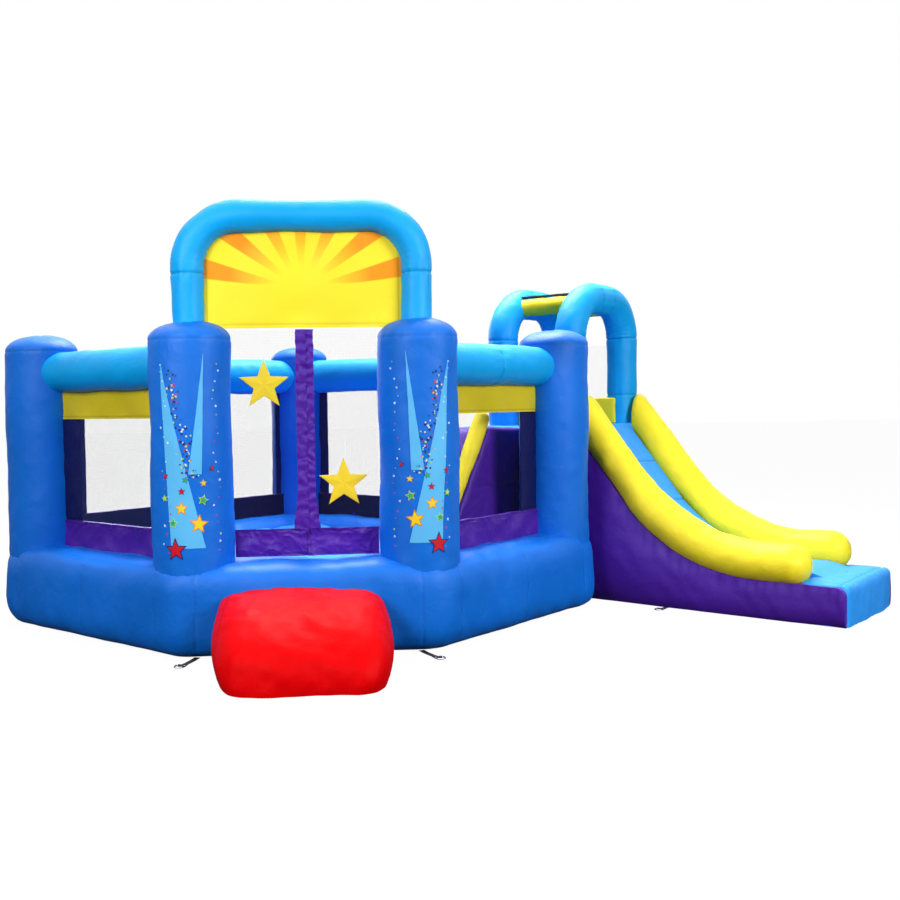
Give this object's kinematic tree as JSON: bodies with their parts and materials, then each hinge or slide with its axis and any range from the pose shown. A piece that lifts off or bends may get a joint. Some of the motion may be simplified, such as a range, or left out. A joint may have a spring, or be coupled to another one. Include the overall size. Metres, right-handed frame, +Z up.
{
  "type": "inflatable bounce house",
  "caption": "Inflatable bounce house with domed columns, netted sides, an arch over the entrance, a climbing wall and a curved slide with a blower.",
  "frame": {"origin": "middle of the footprint, on the ground", "axes": "+X from the house towards the slide, -Y is the side of the entrance, +Z up"},
  "size_m": [6.012, 4.1302, 2.6072],
  "materials": {
    "blue_fabric": "satin coated nylon",
    "sky_fabric": "satin coated nylon",
    "floor_fabric": "satin coated nylon",
    "purple_fabric": "satin coated nylon",
    "yellow_fabric": "satin coated nylon",
    "red_fabric": "satin coated nylon",
    "netting": "open mesh",
    "webbing": "woven webbing",
    "steel": "zinc plated",
    "housing": "matte moulded",
    "fan": "matte moulded",
    "switch": "gloss moulded"
  },
  "bodies": {
    "house": {"anchor_strap_left": "webbing", "anchor_strap_right": "webbing", "base_tube_back_left": "blue_fabric", "base_tube_back_right": "blue_fabric", "base_tube_entrance": "blue_fabric", "base_tube_front_left": "blue_fabric", "base_tube_front_right": "blue_fabric", "blower_case": "housing", "blower_lid": "housing", "bounce_floor": "floor_fabric", "climb_tube_left": "yellow_fabric", "climb_tube_right": "yellow_fabric", "climbing_wall": "purple_fabric", "column_back": "blue_fabric", "column_front_left": "blue_fabric", "column_front_right": "blue_fabric", "column_left": "blue_fabric", "column_right": "blue_fabric", "entrance_arch": "sky_fabric", "entrance_step": "red_fabric", "gate_post": "blue_fabric", "inflation_sleeve": "blue_fabric", "low_wall_back_left": "purple_fabric", "low_wall_back_right": "purple_fabric", "low_wall_front_left": "purple_fabric", "low_wall_front_right": "purple_fabric", "net_back_left": "netting", "net_back_right": "netting", "net_front_left": "netting", "net_front_right": "netting", "sign_panel": "yellow_fabric", "slide_bed": "sky_fabric", "slide_body": "purple_fabric", "slide_toe": "sky_fabric", "slide_tube_far": "yellow_fabric", "slide_tube_near": "yellow_fabric", "top_tube_back_left": "sky_fabric", "top_tube_back_right": "sky_fabric", "top_tube_front_left": "sky_fabric", "top_tube_front_right": "sky_fabric", "tower_arch_back": "sky_fabric", "tower_arch_front": "sky_fabric", "tower_base": "purple_fabric", "tower_deck": "floor_fabric", "tower_net": "netting", "tower_rail_far": "yellow_fabric", "tower_rail_near": "yellow_fabric", "tower_roof_net": "webbing", "valance_front_left": "yellow_fabric", "valance_front_right": "yellow_fabric"},
    "door_left": {"door_net_left": "netting", "door_border_left": "purple_fabric", "door_star_left": "yellow_fabric"},
    "door_right": {"door_net_right": "netting", "door_border_right": "purple_fabric", "door_star_right": "yellow_fabric"},
    "ring_left": {"anchor_ring_left": "steel"},
    "ring_right": {"anchor_ring_right": "steel"},
    "fan": {"blower_wheel": "fan"},
    "rocker": {"blower_switch": "switch"}
  },
  "joints": [
    {"name": "door_left_swing", "type": "hinge", "parent": "house", "child": "door_left", "pos_m": [-1.41314, -1.0198, 1.2], "axis": [0, 0, 1], "range_deg": [-85, 85]},
    {"name": "door_right_swing", "type": "hinge", "parent": "house", "child": "door_right", "pos_m": [-0.58914, -1.0198, 1.2], "axis": [0, 0, 1], "range_deg": [-85, 85]},
    {"name": "ring_left_swing", "type": "hinge", "parent": "house", "child": "ring_left", "pos_m": [-1.71456, -1.37136, 0.0075], "axis": [-0.9285, 0.3714, 0], "range_deg": [0, 150]},
    {"name": "ring_right_swing", "type": "hinge", "parent": "house", "child": "ring_right", "pos_m": [-0.28771, -1.37136, 0.0075], "axis": [-0.9285, -0.3714, 0], "range_deg": [0, 150]},
    {"name": "fan_spin", "type": "hinge", "parent": "house", "child": "fan", "pos_m": [-2.62067, 1.67974, 0.21], "axis": [-0.7071, -0.7071, 0], "continuous": true},
    {"name": "rocker_tilt", "type": "hinge", "parent": "house", "child": "rocker", "pos_m": [-2.53865, 1.76176, 0.3], "axis": [-0.7071, 0.7071, 0], "range_deg": [-9, 9]}
  ]
}
